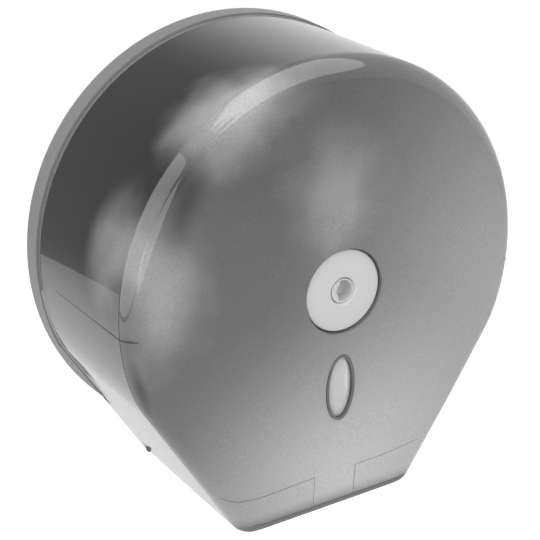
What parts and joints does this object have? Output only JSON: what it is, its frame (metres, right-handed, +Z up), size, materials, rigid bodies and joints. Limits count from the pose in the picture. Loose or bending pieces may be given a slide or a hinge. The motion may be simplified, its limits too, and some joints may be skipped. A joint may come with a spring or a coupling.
{
  "type": "jumbo toilet roll dispenser",
  "caption": "Round wall-mounted jumbo toilet roll dispenser: smoky hinged cover with centre lock, sight window and tear bars, over a wall plate with a turning core spindle.",
  "frame": {"origin": "on the roll axis, at the wall face of the back plate", "axes": "+Z up the wall, +Y into the wall, +X to the right seen from the front, so the front faces -Y"},
  "size_m": [0.27, 0.12, 0.2762],
  "materials": {
    "plate_grey": "light grey moulded ABS, fine matte grain",
    "hub_white": "white acetal, low sheen",
    "smoke_shell": "smoky clear plastic, polished side wall and finely frosted front",
    "clear_lens": "clear polished plastic",
    "dark_trim": "dark grey moulded plastic",
    "tear_grey": "translucent light grey plastic",
    "lock_light": "light grey satin plastic",
    "zinc_screw": "zinc plated steel screws",
    "zinc_plate": "zinc plated steel sheet",
    "spring_steel": "phosphated spring steel",
    "pin_steel": "bright ground steel"
  },
  "bodies": {
    "base": {"back_plate": "plate_grey", "spindle_post": "plate_grey", "spindle_screws": "zinc_screw", "thrust_washer": "hub_white", "adapter_clip": "spring_steel", "lock_strike": "zinc_plate", "strike_screws": "zinc_screw", "hinge_pins": "pin_steel"},
    "hub": {"core_adapter": "hub_white"},
    "cover": {"cover_shell": "smoke_shell", "window_frame": "dark_trim", "window_lens": "clear_lens", "tear_bar_left": "tear_grey", "tear_bar_right": "tear_grey", "lock_disc": "lock_light", "lock_housing": "dark_trim", "housing_screws": "zinc_screw"},
    "lock": {"lock_barrel": "lock_light", "barrel_clip": "spring_steel", "lock_cam": "zinc_plate", "cam_screw": "zinc_screw"}
  },
  "joints": [
    {"name": "cover_hinge", "type": "hinge", "parent": "base", "child": "cover", "pos_m": [0, -0.01, -0.1317], "axis": [1, 0, 0], "range_deg": [0, 90]},
    {"name": "hub_spin", "type": "hinge", "parent": "base", "child": "hub", "pos_m": [0, -0.05, 0], "axis": [0, 1, 0], "continuous": true},
    {"name": "lock_turn", "type": "hinge", "parent": "cover", "child": "lock", "pos_m": [0, -0.11, 0], "axis": [0, 1, 0], "range_deg": [0, 90]}
  ]
}
